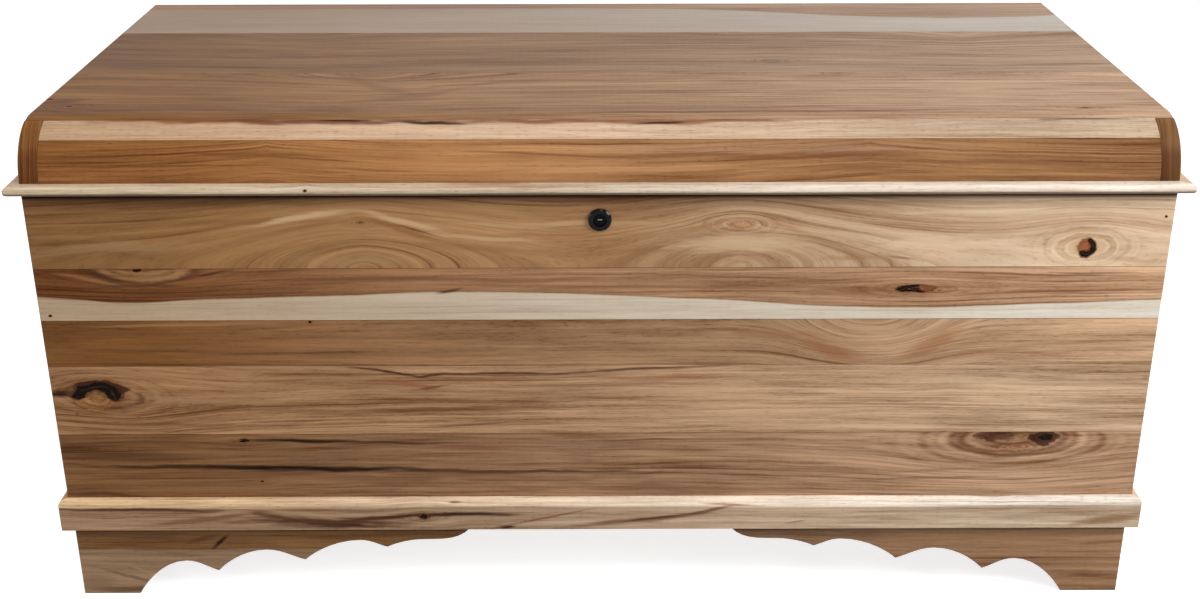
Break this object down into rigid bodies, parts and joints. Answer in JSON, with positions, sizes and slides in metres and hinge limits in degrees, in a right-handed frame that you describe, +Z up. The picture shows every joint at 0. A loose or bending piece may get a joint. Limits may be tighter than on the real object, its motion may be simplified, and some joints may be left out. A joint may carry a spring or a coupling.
{
  "type": "blanket chest",
  "caption": "Rustic wooden blanket chest with a round-fronted hinged lid, bullnose and base mouldings, scalloped bracket feet and a round barrel lock.",
  "frame": {"origin": "middle of the whole chest's box, on the floor under the feet", "axes": "+X to the right seen from the front, +Y to the back, +Z up"},
  "size_m": [1.144, 0.5526, 0.522],
  "materials": {
    "case_wood": "satin lacquered hickory",
    "lid_wood": "satin lacquered hickory",
    "cream_wood": "satin lacquered hickory sapwood",
    "dark_wood": "satin lacquered hickory, darker boards",
    "trim_wood": "satin lacquered hickory",
    "base_wood": "satin lacquered hickory",
    "inside_wood": "thin matt lacquer",
    "hinge_brass": "brushed antique brass",
    "stay_steel": "brushed, plated steel",
    "lock_black": "gloss black",
    "lock_plug": "satin black"
  },
  "bodies": {
    "case": {"front_board_1": "case_wood", "front_board_2": "case_wood", "front_board_3": "case_wood", "front_board_4": "case_wood", "front_board_5": "case_wood", "back_board_1": "case_wood", "back_board_2": "case_wood", "back_board_3": "case_wood", "left_board_1": "case_wood", "left_board_2": "case_wood", "left_board_3": "case_wood", "left_board_4": "case_wood", "right_board_1": "case_wood", "right_board_2": "case_wood", "right_board_3": "case_wood", "right_board_4": "case_wood", "floor_panel": "inside_wood", "base_moulding_front": "trim_wood", "base_moulding_left": "trim_wood", "base_moulding_right": "trim_wood", "front_left_bracket": "base_wood", "front_right_bracket": "base_wood", "left_skirt": "base_wood", "right_skirt": "base_wood", "back_skirt": "base_wood", "corner_block_front_left": "inside_wood", "corner_block_front_right": "inside_wood", "corner_block_back_left": "inside_wood", "corner_block_back_right": "inside_wood", "hinge_left_case_leaf": "hinge_brass", "hinge_left_pin": "hinge_brass", "hinge_right_case_leaf": "hinge_brass", "hinge_right_pin": "hinge_brass", "left_stay_case_plate": "stay_steel", "right_stay_case_plate": "stay_steel", "lock_barrel": "lock_black", "lock_nut": "stay_steel"},
    "lid": {"lid_front_board": "lid_wood", "lid_corner_strip": "cream_wood", "lid_top_board_front": "lid_wood", "lid_top_board_middle": "lid_wood", "lid_top_board_back": "cream_wood", "lid_end_left": "dark_wood", "lid_end_right": "dark_wood", "lid_back_rail": "lid_wood", "lid_moulding_front": "cream_wood", "lid_moulding_left": "cream_wood", "lid_moulding_right": "cream_wood", "hinge_left_lid_leaf": "hinge_brass", "hinge_right_lid_leaf": "hinge_brass", "left_stay_lid_plate": "stay_steel", "right_stay_lid_plate": "stay_steel", "lock_keeper": "stay_steel"},
    "left_lower_arm": {"left_stay_lower_arm": "stay_steel"},
    "left_upper_arm": {"left_stay_upper_arm": "stay_steel"},
    "right_lower_arm": {"right_stay_lower_arm": "stay_steel"},
    "right_upper_arm": {"right_stay_upper_arm": "stay_steel"},
    "lock_core": {"lock_plug": "lock_plug", "lock_cam": "stay_steel", "lock_cam_screw": "stay_steel"}
  },
  "joints": [
    {"name": "lid_hinge", "type": "hinge", "parent": "case", "child": "lid", "pos_m": [0, 0.27315, 0.4574], "axis": [-1, 0, 0], "range_deg": [0, 95]},
    {"name": "left_stay_lower", "type": "hinge", "parent": "case", "child": "left_lower_arm", "pos_m": [-0.536, 0.1372, 0.39401], "axis": [-1, 0, 0], "range_deg": [0, 95]},
    {"name": "left_stay_upper", "type": "hinge", "parent": "lid", "child": "left_upper_arm", "pos_m": [-0.534, 0.12461, 0.47828], "axis": [-1, 0, 0], "range_deg": [-95, 0]},
    {"name": "right_stay_lower", "type": "hinge", "parent": "case", "child": "right_lower_arm", "pos_m": [0.536, 0.1372, 0.39401], "axis": [-1, 0, 0], "range_deg": [0, 95]},
    {"name": "right_stay_upper", "type": "hinge", "parent": "lid", "child": "right_upper_arm", "pos_m": [0.534, 0.12461, 0.47828], "axis": [-1, 0, 0], "range_deg": [-95, 0]},
    {"name": "lock_turn", "type": "hinge", "parent": "case", "child": "lock_core", "pos_m": [0, -0.26335, 0.4294], "axis": [0, 1, 0], "range_deg": [0, 90]}
  ],
  "couplings": [
    {"joint": "left_stay_lower", "follows": "lid_hinge", "ratio": 1},
    {"joint": "left_stay_upper", "follows": "lid_hinge", "ratio": -1},
    {"joint": "right_stay_lower", "follows": "lid_hinge", "ratio": 1},
    {"joint": "right_stay_upper", "follows": "lid_hinge", "ratio": -1}
  ]
}
